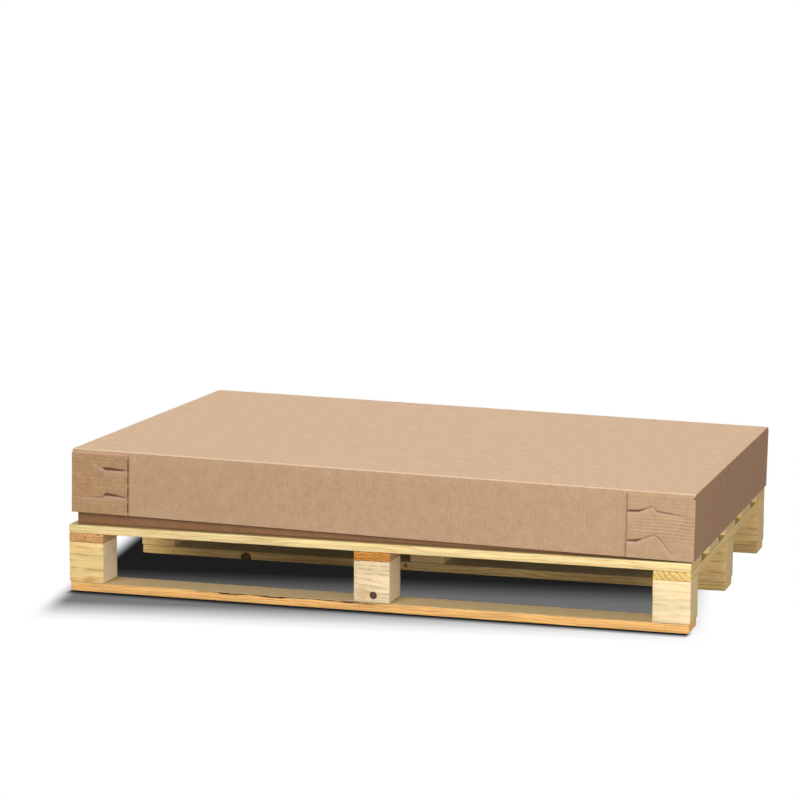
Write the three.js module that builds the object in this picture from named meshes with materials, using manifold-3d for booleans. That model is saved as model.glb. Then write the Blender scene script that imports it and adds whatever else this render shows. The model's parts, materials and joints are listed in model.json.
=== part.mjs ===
// Bulk pallet box, lowered as it is stored and sent back: a light block pallet carries a
// corrugated tray, the four-sided sleeve lies folded flat inside the tray, and the lid is
// pushed down over the tray, with its left end standing up.
// Millimetres. +X runs along the pallet, +Y to its back and +Z up. The origin is the middle
// of the pallet's footprint, on the floor.
import * as THREE from 'three';
import { mergeVertices } from 'three/addons/utils/BufferGeometryUtils.js';
import Module from 'manifold-3d';

// Pallet
const PALLET_LENGTH = 1200;
const PALLET_WIDTH = 800;
const DECK_BOARD_COUNT = 5;
const DECK_BOARD_WIDTH = 100;
const DECK_BOARD_THICKNESS = 17;
const STRINGER_WIDTH = 70;
const STRINGER_THICKNESS = 17;
const SKID_WIDTH = 70;
const SKID_THICKNESS = 17;
const SKID_SETBACK = 2;
const BLOCK_LENGTH = STRINGER_WIDTH;
const BLOCK_WIDTH = SKID_WIDTH;
const BLOCK_HEIGHT = 78;
const MIDDLE_COLUMN_SHIFT = 4;
const SAWN_ARRIS = 1;

// Lid, one sheet folded down on four sides with its side walls' tabs glued on outside
const LID_END_SETBACK = 1;
const LID_LENGTH = PALLET_LENGTH - 2 * LID_END_SETBACK;
const LID_WIDTH = PALLET_WIDTH;
const LID_SKIRT = 122;
const LID_BOARD = 4;
const LID_TAB_WIDTH = 119;
const LID_TAB_DROP = 5;
const LID_TILT_DEGREES = 1.08;
const LID_CLEARANCE = 4;
const LID_SEAT_GAP = 0.3;

// Tray, one sheet folded up on four sides with the tabs glued on inside
const TRAY_WALL_HEIGHT = 119;
const TRAY_BOARD = 4;
const TRAY_TAB_WIDTH = 110;
const TRAY_TAB_DROP = 5;

// Sleeve, a ring of four walls that lies in four layers at its ends and two in its middle
const SLEEVE_BOARD = 7;
const SLEEVE_CLEARANCE = 4;
const SLEEVE_END_CLEARANCE = 5;
const SLEEVE_LAYER_GAP = 1;
const SLEEVE_SEAT_GAP = 0.3;

// Both card boxes as they stand on the pallet
const BOX_SHIFT_X = 4;
const BOX_SHIFT_Y = 2;
const FOLD_RADIUS = 5;
const FOLD_STEPS = 5;
const GLUE_OVERLAP = 1;

// Levels, from the floor up
const BLOCK_BASE = SKID_THICKNESS;
const STRINGER_BASE = BLOCK_BASE + BLOCK_HEIGHT;
const DECK_BASE = STRINGER_BASE + STRINGER_THICKNESS;
const DECK_TOP = DECK_BASE + DECK_BOARD_THICKNESS;
const TRAY_RIM = DECK_TOP + TRAY_WALL_HEIGHT;

// The lid's tabs lie outside its front and back walls, and the tray stands inside all of it
const LID_INNER_LENGTH = LID_LENGTH - 2 * LID_BOARD;
const LID_INNER_WIDTH = LID_WIDTH - 4 * LID_BOARD;
const TRAY_LENGTH = LID_INNER_LENGTH - 2 * LID_CLEARANCE;
const TRAY_WIDTH = LID_INNER_WIDTH - 2 * LID_CLEARANCE;

// The sleeve lies across the tray, between the tabs on its front and back walls
const SLEEVE_HEIGHT = TRAY_WIDTH - 2 * (2 * TRAY_BOARD + SLEEVE_END_CLEARANCE);

const FINISH = {
  sawnPine: { color: 0xe6cd93, roughness: 0.8, metalness: 0 },
  pineEnd: { color: 0xd9b36c, roughness: 0.85, metalness: 0 },
  lidCard: { color: 0xc29c7c, roughness: 0.85, metalness: 0 },
  trayCard: { color: 0xa5795a, roughness: 0.88, metalness: 0 },
  sleeveCard: { color: 0xb58d6a, roughness: 0.88, metalness: 0 },
};

const wasm = await Module();
wasm.setup();

// Closed three.js geometry to a solid that can be joined and cut, and back again
function toSolid(geometry) {
  const bare = geometry.clone();
  bare.deleteAttribute('normal');
  bare.deleteAttribute('uv');
  const merged = mergeVertices(bare);
  const vertProperties = new Float32Array(merged.attributes.position.array);
  const triVerts = new Uint32Array(merged.index.array);
  return new wasm.Manifold(new wasm.Mesh({ numProp: 3, vertProperties, triVerts }));
}

function toGeometry(solid) {
  const { vertProperties, triVerts, numProp } = solid.getMesh();
  const positions = new Float32Array((vertProperties.length / numProp) * 3);
  for (let i = 0; i < positions.length / 3; i += 1) {
    positions.set(vertProperties.subarray(i * numProp, i * numProp + 3), i * 3);
  }
  const geometry = new THREE.BufferGeometry();
  geometry.setAttribute('position', new THREE.BufferAttribute(positions, 3));
  geometry.setIndex(new THREE.BufferAttribute(new Uint32Array(triVerts), 1));
  const faceted = geometry.toNonIndexed();
  faceted.computeVertexNormals();
  return faceted;
}

function namedMesh(name, geometry, finish) {
  const mesh = new THREE.Mesh(geometry, new THREE.MeshStandardMaterial(finish));
  mesh.name = name;
  return mesh;
}

// Sawn timber with its arrises taken off: the section stands across the grain, and
// the length runs along X, so the two ends are the end grain
function sawnTimber(length, width, height) {
  const halfWidth = width / 2;
  const halfHeight = height / 2;
  const section = new THREE.Shape();
  section.moveTo(halfHeight - SAWN_ARRIS, -halfWidth);
  section.lineTo(halfHeight, -halfWidth + SAWN_ARRIS);
  section.lineTo(halfHeight, halfWidth - SAWN_ARRIS);
  section.lineTo(halfHeight - SAWN_ARRIS, halfWidth);
  section.lineTo(-halfHeight + SAWN_ARRIS, halfWidth);
  section.lineTo(-halfHeight, halfWidth - SAWN_ARRIS);
  section.lineTo(-halfHeight, -halfWidth + SAWN_ARRIS);
  section.lineTo(-halfHeight + SAWN_ARRIS, -halfWidth);
  section.closePath();
  const geometry = new THREE.ExtrudeGeometry(section, {
    depth: length - 2 * SAWN_ARRIS,
    bevelEnabled: true,
    bevelThickness: SAWN_ARRIS,
    bevelSize: SAWN_ARRIS,
    bevelOffset: -SAWN_ARRIS,
    bevelSegments: 1,
  });
  geometry.translate(0, 0, SAWN_ARRIS - length / 2);
  geometry.rotateY(Math.PI / 2);
  return geometry;
}

// Deck boards lie lengthwise, evenly spaced from the front edge to the back edge
function deckBoards() {
  const pitch = (PALLET_WIDTH - DECK_BOARD_WIDTH) / (DECK_BOARD_COUNT - 1);
  const firstY = (DECK_BOARD_WIDTH - PALLET_WIDTH) / 2;
  const boards = [];
  for (let i = 0; i < DECK_BOARD_COUNT; i += 1) {
    const geometry = sawnTimber(PALLET_LENGTH, DECK_BOARD_WIDTH, DECK_BOARD_THICKNESS);
    const board = namedMesh(`deck_board_${i + 1}`, geometry, FINISH.sawnPine);
    board.position.set(0, firstY + i * pitch, DECK_BASE + DECK_BOARD_THICKNESS / 2);
    boards.push(board);
  }
  return boards;
}

// Three columns of blocks stand under the stringers, and three rows of them over the skids
const COLUMNS = [
  { name: 'left', x: (STRINGER_WIDTH - PALLET_LENGTH) / 2 },
  { name: 'middle', x: MIDDLE_COLUMN_SHIFT },
  { name: 'right', x: (PALLET_LENGTH - STRINGER_WIDTH) / 2 },
];
const ROWS = [
  { name: 'front', y: (SKID_WIDTH - PALLET_WIDTH) / 2 },
  { name: 'middle', y: 0 },
  { name: 'back', y: (PALLET_WIDTH - SKID_WIDTH) / 2 },
];

function stringers() {
  return COLUMNS.map((column) => {
    const geometry = sawnTimber(PALLET_WIDTH, STRINGER_WIDTH, STRINGER_THICKNESS);
    const stringer = namedMesh(`stringer_${column.name}`, geometry, FINISH.sawnPine);
    stringer.rotation.z = Math.PI / 2;
    stringer.position.set(column.x, 0, STRINGER_BASE + STRINGER_THICKNESS / 2);
    return stringer;
  });
}

function blocks() {
  return ROWS.flatMap((row) => COLUMNS.map((column) => {
    const geometry = sawnTimber(BLOCK_LENGTH, BLOCK_WIDTH, BLOCK_HEIGHT);
    const block = namedMesh(`block_${row.name}_${column.name}`, geometry, FINISH.pineEnd);
    block.position.set(column.x, row.y, BLOCK_BASE + BLOCK_HEIGHT / 2);
    return block;
  }));
}

function skids() {
  const length = PALLET_LENGTH - 2 * SKID_SETBACK;
  return ROWS.map((row) => {
    const geometry = sawnTimber(length, SKID_WIDTH, SKID_THICKNESS);
    const skid = namedMesh(`skid_${row.name}`, geometry, FINISH.sawnPine);
    skid.position.set(0, row.y, SKID_THICKNESS / 2);
    return skid;
  });
}

// A wall-floor-wall section of an open box, from rim to rim, with both folds rounded
function troughSection(span, height, radius) {
  const half = span / 2;
  const section = new THREE.Shape();
  section.moveTo(-half, height);
  section.lineTo(-half, radius);
  section.absarc(-half + radius, radius, radius, Math.PI, 1.5 * Math.PI, false);
  section.absarc(half - radius, radius, radius, 1.5 * Math.PI, 2 * Math.PI, false);
  section.lineTo(half, height);
  section.closePath();
  return section;
}

function troughSolid(span, height, radius, run, alongX) {
  const section = troughSection(span, height, radius);
  const settings = { depth: run, bevelEnabled: false, curveSegments: FOLD_STEPS };
  const geometry = new THREE.ExtrudeGeometry(section, settings);
  geometry.translate(0, 0, -run / 2);
  geometry.rotateX(Math.PI / 2);
  if (alongX) geometry.rotateZ(Math.PI / 2);
  return toSolid(geometry);
}

// A block with a folded edge on every side of its floor: two troughs that cross
function foldedBlock(length, width, height, radius) {
  const lengthwise = troughSolid(length, height, radius, width, false);
  const crosswise = troughSolid(width, height, radius, length, true);
  return lengthwise.intersect(crosswise);
}

// A tab that turns the corner from a side wall and lies flat on the front or back wall.
// Its outline is drawn in plan with the turned corner at the far left, in front.
function cornerTab(width, board, base, top) {
  const depth = board + GLUE_OVERLAP;
  const outline = new THREE.Shape();
  outline.moveTo(0, depth);
  outline.lineTo(0, board);
  outline.absarc(board, board, board, Math.PI, 1.5 * Math.PI, false);
  outline.lineTo(width, 0);
  outline.lineTo(width, depth);
  outline.closePath();
  const settings = { depth: top - base, bevelEnabled: false, curveSegments: FOLD_STEPS };
  const geometry = new THREE.ExtrudeGeometry(outline, settings);
  geometry.translate(0, 0, base);
  return toSolid(geometry);
}

function onFourCorners(piece, cornerX, cornerY) {
  const placed = piece.translate([-cornerX, -cornerY, 0]);
  const pair = placed.add(placed.mirror([1, 0, 0]));
  return pair.add(pair.mirror([0, 1, 0]));
}

// One sheet folded into an open box, floor down. The tabs lie outside the front and back
// walls, where they turn the corner, or inside them, where they start at the side walls.
function foldedBox({ length, width, height, board, tabWidth, tabDrop, tabsOutside }) {
  const coreWidth = tabsOutside ? width - 2 * board : width;
  const outer = foldedBlock(length, coreWidth, height, FOLD_RADIUS);
  const innerLength = length - 2 * board;
  const innerWidth = coreWidth - 2 * board;
  const innerRadius = FOLD_RADIUS - board;
  const hollow = foldedBlock(innerLength, innerWidth, height, innerRadius);
  const shell = outer.subtract(hollow.translate([0, 0, board]));
  if (tabsOutside) {
    const tab = cornerTab(tabWidth, board, tabDrop, height);
    return shell.add(onFourCorners(tab, length / 2, width / 2));
  }
  const tabHeight = height - board - tabDrop;
  const tab = new THREE.BoxGeometry(tabWidth + GLUE_OVERLAP, board + GLUE_OVERLAP, tabHeight);
  tab.translate((tabWidth - GLUE_OVERLAP) / 2, (board - GLUE_OVERLAP) / 2, height - tabHeight / 2);
  return shell.add(onFourCorners(toSolid(tab), innerLength / 2, innerWidth / 2));
}

function tray() {
  const solid = foldedBox({
    length: TRAY_LENGTH,
    width: TRAY_WIDTH,
    height: TRAY_WALL_HEIGHT,
    board: TRAY_BOARD,
    tabWidth: TRAY_TAB_WIDTH,
    tabDrop: TRAY_TAB_DROP,
    tabsOutside: false,
  });
  const mesh = namedMesh('tray', toGeometry(solid), FINISH.trayCard);
  mesh.position.set(BOX_SHIFT_X, BOX_SHIFT_Y, DECK_TOP);
  return mesh;
}

// The ring's section is a belt round six folds. Each fold has its centre, and turns
// outwards (+1) at the ring's corners or inwards (-1) at the creases of its short walls.
function sleeveFolds() {
  const pitch = SLEEVE_BOARD + SLEEVE_LAYER_GAP;
  const radius = pitch / 2;
  const end = TRAY_LENGTH / 2 - TRAY_BOARD - SLEEVE_CLEARANCE - radius - SLEEVE_BOARD / 2;
  const shortWall = TRAY_WIDTH - 2 * (TRAY_BOARD + SLEEVE_CLEARANCE);
  const crease = end - shortWall / 2;
  const low = SLEEVE_BOARD / 2 + radius;
  return [
    { x: end, z: low, turn: 1 },
    { x: crease, z: low + pitch, turn: -1 },
    { x: end, z: low + 2 * pitch, turn: 1 },
    { x: -end, z: low + 2 * pitch, turn: 1 },
    { x: -crease, z: low + pitch, turn: -1 },
    { x: -end, z: low, turn: 1 },
  ].map((fold) => ({ ...fold, radius }));
}

// Draws the belt at a distance outside its middle line. A straight run touches the fold
// that it leaves and the fold that it reaches, each on its own side.
function beltOutline(path, folds, offset) {
  const reach = folds.map((fold) => fold.turn * fold.radius + offset);
  const headings = folds.map((fold, i) => {
    const next = folds[(i + 1) % folds.length];
    const change = reach[i] - reach[(i + 1) % folds.length];
    const apart = Math.hypot(next.x - fold.x, next.z - fold.z);
    return Math.atan2(next.z - fold.z, next.x - fold.x) + Math.asin(change / apart);
  });
  folds.forEach((fold, i) => {
    const before = headings[(i + folds.length - 1) % folds.length];
    const side = fold.turn > 0 ? -Math.PI / 2 : Math.PI / 2;
    path.absarc(fold.x, fold.z, Math.abs(reach[i]), before + side, headings[i] + side, fold.turn < 0);
  });
  path.closePath();
  return path;
}

function sleeve() {
  const folds = sleeveFolds();
  const section = beltOutline(new THREE.Shape(), folds, SLEEVE_BOARD / 2);
  section.holes.push(beltOutline(new THREE.Path(), folds, -SLEEVE_BOARD / 2));
  const settings = { depth: SLEEVE_HEIGHT, bevelEnabled: false, curveSegments: 2 * FOLD_STEPS };
  const geometry = new THREE.ExtrudeGeometry(section, settings);
  geometry.translate(0, 0, -SLEEVE_HEIGHT / 2);
  geometry.rotateX(Math.PI / 2);
  const mesh = namedMesh('sleeve', geometry, FINISH.sleeveCard);
  mesh.position.set(BOX_SHIFT_X, BOX_SHIFT_Y, DECK_TOP + TRAY_BOARD + SLEEVE_SEAT_GAP);
  return mesh;
}

// The lid lies on the tray's right rim and stands up at its left end. Its own origin is the
// middle of its open side.
function lid() {
  const solid = foldedBox({
    length: LID_LENGTH,
    width: LID_WIDTH,
    height: LID_SKIRT,
    board: LID_BOARD,
    tabWidth: LID_TAB_WIDTH,
    tabDrop: LID_TAB_DROP,
    tabsOutside: true,
  });
  const geometry = toGeometry(solid);
  geometry.rotateX(Math.PI);
  geometry.translate(0, 0, LID_SKIRT);
  const tilt = THREE.MathUtils.degToRad(LID_TILT_DEGREES);
  const seat = LID_SKIRT - LID_BOARD - LID_SEAT_GAP;
  const rise = (seat - (TRAY_LENGTH / 2) * Math.sin(tilt)) / Math.cos(tilt);
  const mesh = namedMesh('lid', geometry, FINISH.lidCard);
  mesh.rotation.y = tilt;
  mesh.position.set(BOX_SHIFT_X, BOX_SHIFT_Y, TRAY_RIM - rise);
  return mesh;
}

const palletBox = new THREE.Group();
palletBox.add(...deckBoards(), ...stringers(), ...blocks(), ...skids());
palletBox.add(tray(), sleeve(), lid());

export default palletBox;
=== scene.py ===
"""Bulk pallet box, lowered: a light pine block pallet, a corrugated tray with the sleeve folded
flat inside it, and a corrugated lid pushed down over the tray. Metres, in the CAD's frame."""
import json
import math
import random

import bmesh
import bpy
from mathutils import Matrix, Vector


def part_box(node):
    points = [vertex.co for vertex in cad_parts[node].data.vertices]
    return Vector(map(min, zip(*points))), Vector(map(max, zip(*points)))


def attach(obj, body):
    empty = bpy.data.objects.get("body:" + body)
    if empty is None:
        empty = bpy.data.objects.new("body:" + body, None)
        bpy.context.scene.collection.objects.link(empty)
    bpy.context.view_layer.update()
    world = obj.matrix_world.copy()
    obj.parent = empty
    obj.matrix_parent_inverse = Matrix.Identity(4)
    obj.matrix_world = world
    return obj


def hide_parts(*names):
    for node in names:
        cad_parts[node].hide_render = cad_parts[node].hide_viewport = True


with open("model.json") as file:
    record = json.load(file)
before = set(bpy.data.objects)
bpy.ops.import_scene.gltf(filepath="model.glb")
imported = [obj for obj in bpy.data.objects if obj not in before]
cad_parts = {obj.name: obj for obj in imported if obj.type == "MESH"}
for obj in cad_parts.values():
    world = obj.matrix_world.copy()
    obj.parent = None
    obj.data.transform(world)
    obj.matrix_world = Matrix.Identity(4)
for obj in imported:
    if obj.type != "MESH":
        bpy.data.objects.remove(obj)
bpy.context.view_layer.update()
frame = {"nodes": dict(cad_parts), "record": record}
MM = 0.001

# The photograph's camera, solved from the pallet's corners
CAMERA_PLACE = (1.4796, -5.1136, 1.1490)
CAMERA_TURN = 16.784
CAMERA_DIP = 8.671
CAMERA_ROLL = 0.148
CAMERA_LENS = 123.17
SENSOR = 36

# Corrugated board
FLUTE_PITCH = 7.9 * MM
FLUTE_WANDER = 1.5
FOLD_RADIUS = 2.2 * MM
FOLD_BAND = 20 * MM
BOARD_CELL = 20 * MM
CRUSHED_EDGE = 0.8 * MM
LID_LENGTH = 1198 * MM
LID_WIDTH = 800 * MM
LID_SKIRT = 122 * MM
LID_BOARD = 4 * MM
LID_TAB_DROP = 5 * MM
RIGHT_TAB_WIDTH = 124 * MM
LEFT_TAB_WIDTH = 115 * MM
TAB_CELL = 1.5 * MM
TAB_RELIEF = 0.9 * MM
TAB_DENT = 1.2 * MM
TRAY_BOARD = 4 * MM
TRAY_TAB_WIDTH = 110 * MM
TRAY_TAB_FOOT = 9 * MM
TRAY_TAB_BELOW_RIM = 0.5 * MM
TRAY_TAB_GAP = 0.1 * MM
TRAY_TAB_BOARD = TRAY_BOARD - 0.2 * MM

# A face looks in a direction when its normal lies this near to it
FACING = 0.7

# Timber
COLUMNS = ("left", "middle", "right")
ROWS = ("front", "middle", "back")
DECK_BOARDS = 5
SKID_THICKNESS = 17 * MM
ARRIS = 1.2 * MM
SAWN_UNEVENNESS = 0.7 * MM
SAWN_WAVE = 50 * MM
LONG_CELL = 14 * MM
CROSS_CELL = 9 * MM
GRAIN_STEP = 0.137

# Nails, and where they are driven, from the middle of a crossing or a block
NAIL_HEAD = 4 * MM
NAIL_HEAD_THICKNESS = 1.2 * MM
NAIL_RIM = 0.25 * MM
NAIL_SHANK = 1.5 * MM
NAIL_LENGTH = 26 * MM
NAIL_POINT = 5 * MM
NAIL_SINK = 0.1 * MM
NAIL_SCATTER = 3
DECK_NAIL_ASIDE = (18 * MM, 28 * MM)
SKID_NAILS = ((-20, -18), (20, -12), (-2, 20))

# Patterns in the wood, so many to the metre along a timber and across it
RING_DRIFT = (5, 20)
LATE_WOOD_PATCHES = (45, 110)
FIBRES = (22, 600)
CLOUDS = (9, 70)
SAW_MARKS = (260, 25)
BARK_WAVES = (14, 60)

# Bark: how far its lower edge waves, where it starts from, how soon it fades at its ends, and
# how sharp its lower and upper edges are
BARK_WAVE = 14 * MM
BARK_START = 4.3 * MM
BARK_FADE = 0.08
BARK_BELOW = (-0.4 * MM, 0.3 * MM)
BARK_ABOVE = (4.6 * MM, 3.0 * MM)

# How strong a knot's colour is from its middle to its rim
KNOT_RADII = (0, 0.4, 0.62, 0.86, 1)
DARK_RIM = (0.97, 0.92, 1, 0.97, 0)
FADING = (0.9, 0.9, 0.8, 0.45, 0)

# Knots: their place along X and up Z, radius, strength, run of that strength and colour
SKID_KNOTS = [
    (-0.375, 3 * MM, 13 * MM, 0.95, DARK_RIM, "#5A3A1C"),
    (-0.04, 10 * MM, 4.5 * MM, 0.8, DARK_RIM, "#6A3A20"),
]
BLOCK_KNOTS = [
    (0.007, 31 * MM, 7.5 * MM, 1, DARK_RIM, "#54302A"),
    (-0.014, 34 * MM, 15 * MM, 0.4, FADING, "#D0A050"),
]

# Clouds and fibres in kraft paper, so many to the metre
PAPER_CLOUDS = 55
PAPER_FIBRES = 350

# Creases of the lid's front tabs, in millimetres: how far in from the tab's free edge, how
# high above the skirt's edge, and how wide the gap is there, which sets the painted shade in it
RIGHT_CREASES = [
    [(0, 84, 1.8), (22, 85, 2.4), (26, 87, 1.6), (48, 96, 0.9), (55, 87, 1.4), (72, 85, 1.4), (104, 82, 0.8)],
    [(0, 30, 1.4), (20, 31, 2.6), (30, 36, 1.2), (52, 45, 1.1), (62, 37, 1.3), (86, 9, 1.0)],
]
LEFT_CREASES = [
    [(0, 87, 0.8), (14, 86, 2.0), (46, 86, 3.2), (52, 89, 1.0), (66, 96, 0.6), (80, 98, 0.1)],
    [(0, 34, 1.0), (20, 36, 1.8), (46, 37, 3.0), (51, 32, 1.0), (84, 31, 0.6), (112, 32, 0.2)],
]

# What a crease does, by how wide its gap is: the torn liner under it stands up and is pale, the
# board over it sinks, and both fade out in so many millimetres. The gap gets a band of painted shade
TORN_HEIGHT = 16
TORN_RISE = 0.35
TORN_RISE_FADE = 6
TORN_PALE = 0.45
TORN_PALE_MOST = 0.9
TORN_PALE_FADE = 5
SUNK_WIDTHS = 4
SUNK_DEPTH = 0.4
GAP_SHADE = 0.6

# Crushed flutes across the right tab, in millimetres: where they start above the skirt's edge,
# how far up they go, how high they stand at the least and how much more in the middle. Their
# run is in radians to the millimetre
RIDGES_FROM = 25
RIDGES_HIGH = 65
RIDGE_LEAST = 0.1
RIDGE_MORE = 0.45
RIDGE_RUN = 1.02

# The frayed top and free edge of the left tab, the painted shade of the gap along a free edge,
# the square of painted shade at the right tab's notched top corner and the liner's own unevenness, in
# millimetres
FRAY_TOP_FADE = 2.2
FRAY_SIDE_FADE = 2
FREE_EDGE_SHADE_WIDTH = 1.7
CORNER_NOTCH_SHADE = 3
LINER_UNEVENNESS = 0.04

# The shadow on the floor, turned a little from the pallet: for each side, where it starts and
# where it is full. It is dark under the pallet, an even grey in front, and fades out to white
SHADOW_TURN = -8.4
SHADOW_LEFT = (-0.68, -0.63)
SHADOW_RIGHT = (0.57, 0.47)
SHADOW_BACK = (0.45, 0.35)
SHADOW_FADES = (-0.1, -0.55)
SHADOW_SHADES = [(0, "#1E1E1E"), (0.1, "#363636"), (0.33, "#6C6C6C"), (0.66, "#7A7A7A"), (0.9, "#EEEEEE"),
                 (1, "#FFFFFF")]
# The painted contact shadow along the front skid's foot: where it starts and is full, at its front, its back
# and its ends
CONTACT_FRONT = (-0.43, -0.406)
CONTACT_BACK = (-0.38, -0.39)
CONTACT_ENDS = (0.602, 0.594)

# Suns: where each one's light comes from, its power, its spread in degrees and its colour
SUNS = [
    ("key", (-0.35, -1.0, 0.7), 1.6, 35, "#FFF8EC"),
    ("right_fill", (0.95, -0.35, 0.08), 1.25, 50, "#FFFCF6"),
    ("high_back", (-0.2, 0.55, 1.0), 2.2, 50, "#F6FCFF"),
]
PANEL_PLACE = (2.0, -3.1, 0.4)
PANEL_AIM = (0.1, -0.2, 0.1)
PANEL_SIZE = 1.4
PANEL_POWER = 42
WORLD_LIGHT = 0.12
FLOOR_SIZE = 60
FLOOR_DROP = 0.5 * MM


def linear(code):
    """An sRGB hex colour as the linear colour that a shader takes."""
    parts = [int(code[i:i + 2], 16) / 255 for i in (1, 3, 5)]
    return tuple(c / 12.92 if c <= 0.04045 else ((c + 0.055) / 1.055) ** 2.4 for c in parts) + (1,)


def grey(value):
    """A plain strength, from 0 to 1, as a colour for a ramp."""
    return (value, value, value, 1)


def add(tree, kind, links=None, stops=None, **settings):
    """Adds one node with its settings. A link's value is a socket or a plain value."""
    made = tree.nodes.new(kind)
    for key, value in settings.items():
        setattr(made, key, value)
    for key, value in (links or {}).items():
        if isinstance(value, bpy.types.NodeSocket):
            tree.links.new(value, made.inputs[key])
        else:
            made.inputs[key].default_value = value
    if stops:
        elements = made.color_ramp.elements
        while len(elements) < len(stops):
            elements.new(0.5)
        for element, (place, colour) in zip(elements, stops):
            element.position = place
            element.color = colour if isinstance(colour, tuple) else linear(colour)
    return made


def new_material(name, roughness, gloss=0.5):
    """A material with its node tree and its shader. Gloss is the specular level."""
    material = bpy.data.materials.new(name)
    material.use_nodes = True
    shader = material.node_tree.nodes["Principled BSDF"]
    shader.inputs["Roughness"].default_value = roughness
    shader.inputs["Specular IOR Level"].default_value = gloss
    return material, material.node_tree, shader


def streaks(tree, along, per_metre, detail):
    """Noise drawn out along the timber, with so many patches to the metre along and across."""
    lengthwise, crosswise = per_metre
    drawn = add(tree, "ShaderNodeMapping", {"Vector": along, "Scale": (lengthwise, crosswise, crosswise)})
    return add(tree, "ShaderNodeTexNoise", {"Vector": drawn.outputs[0], "Scale": 1, "Detail": detail})


def within(tree, edges, blend="LINEAR"):
    """1 inside all the edges and 0 outside them. An edge is the value it goes by, the value at
    which it starts and the value at which it is passed."""
    inside = 1
    for value, start, passed in edges:
        ramp = add(tree, "ShaderNodeMapRange", {"Value": value, "From Min": start, "From Max": passed},
                   interpolation_type=blend)
        both = add(tree, "ShaderNodeMath", {0: inside, 1: ramp.outputs[0]}, operation="MULTIPLY")
        inside = both.outputs[0]
    return inside


def growth_rings(tree, grain, early, late, ring, sway, patch, broken):
    """Rings round the pith that wander along the timber, and in which a year's late wood comes
    and goes."""
    drift = streaks(tree, grain, RING_DRIFT, 4)
    centred = add(tree, "ShaderNodeVectorMath", {0: drift.outputs["Color"], 1: (0.5, 0.5, 0.5)},
                  operation="SUBTRACT")
    shift = add(tree, "ShaderNodeVectorMath", {0: centred.outputs[0], "Scale": sway * ring},
                operation="SCALE")
    bent = add(tree, "ShaderNodeVectorMath", {0: grain, 1: shift.outputs[0]})
    section = add(tree, "ShaderNodeMapping", {"Vector": bent.outputs[0], "Scale": (0, 1, 1)})
    radius = add(tree, "ShaderNodeVectorMath", {0: section.outputs[0]}, operation="LENGTH")
    count = add(tree, "ShaderNodeMath", {0: radius.outputs["Value"], 1: ring}, operation="DIVIDE")
    year = add(tree, "ShaderNodeMath", {0: count.outputs[0]}, operation="FRACT")
    band = add(tree, "ShaderNodeValToRGB", {"Fac": year.outputs[0]},
               [(0, grey(0)), (0.5, grey(0.05)), (0.85, grey(1)), (1, grey(0))])
    kept = add(tree, "ShaderNodeMapRange",
               {"Value": patch, "From Min": 0.42, "From Max": 0.58, "To Min": 1 - broken})
    shown = add(tree, "ShaderNodeMath", {0: band.outputs[0], 1: kept.outputs[0]}, operation="MULTIPLY")
    wood = add(tree, "ShaderNodeMix", {"Factor": shown.outputs[0], "A": linear(early), "B": linear(late)},
               data_type="RGBA")
    return wood.outputs["Result"]


def glints_and_flecks(tree, colour, place, size, reach, tint):
    """Small marks in about half of the cells of this size: with a pale tint they are painted glints on the
    fibres, with a dark tint bits of bark.
    """
    cell = add(tree, "ShaderNodeTexVoronoi", {"Vector": place, "Scale": 1 / size, "Randomness": 1})
    nearby = add(tree, "ShaderNodeMapRange",
                 {"Value": cell.outputs["Distance"], "From Min": reach, "From Max": reach * 0.4})
    chosen = add(tree, "ShaderNodeSeparateColor", {0: cell.outputs["Color"]})
    some = add(tree, "ShaderNodeMath", {0: chosen.outputs["Red"], 1: 0.55}, operation="LESS_THAN")
    mask = add(tree, "ShaderNodeMath", {0: nearby.outputs[0], 1: some.outputs[0]}, operation="MULTIPLY")
    flecked = add(tree, "ShaderNodeMix", {"Factor": mask.outputs[0], "A": colour, "B": linear(tint)},
                  data_type="RGBA")
    return flecked.outputs["Result"]


def round_knot(tree, colour, place, cloud, x, z, radius, strength, profile, tint):
    """A knot on the timber's front, with an uneven outline."""
    flat = add(tree, "ShaderNodeMapping", {"Vector": place, "Scale": (1, 0, 1)})
    gap = add(tree, "ShaderNodeVectorMath", {0: flat.outputs[0], 1: (x, 0, z)}, operation="DISTANCE")
    wander = add(tree, "ShaderNodeMath", {0: cloud, 1: 0.5, 2: -0.25}, operation="MULTIPLY_ADD")
    share = add(tree, "ShaderNodeMath", {0: gap.outputs["Value"], 1: 1 / radius, 2: wander.outputs[0]},
                operation="MULTIPLY_ADD")
    mark = add(tree, "ShaderNodeValToRGB", {"Fac": share.outputs[0]},
               [(stop, grey(value)) for stop, value in zip(KNOT_RADII, profile)])
    deep = add(tree, "ShaderNodeMath", {0: mark.outputs[0], 1: strength}, operation="MULTIPLY")
    marked = add(tree, "ShaderNodeMix", {"Factor": deep.outputs[0], "A": colour, "B": linear(tint)},
                 data_type="RGBA")
    return marked.outputs["Result"]


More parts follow.
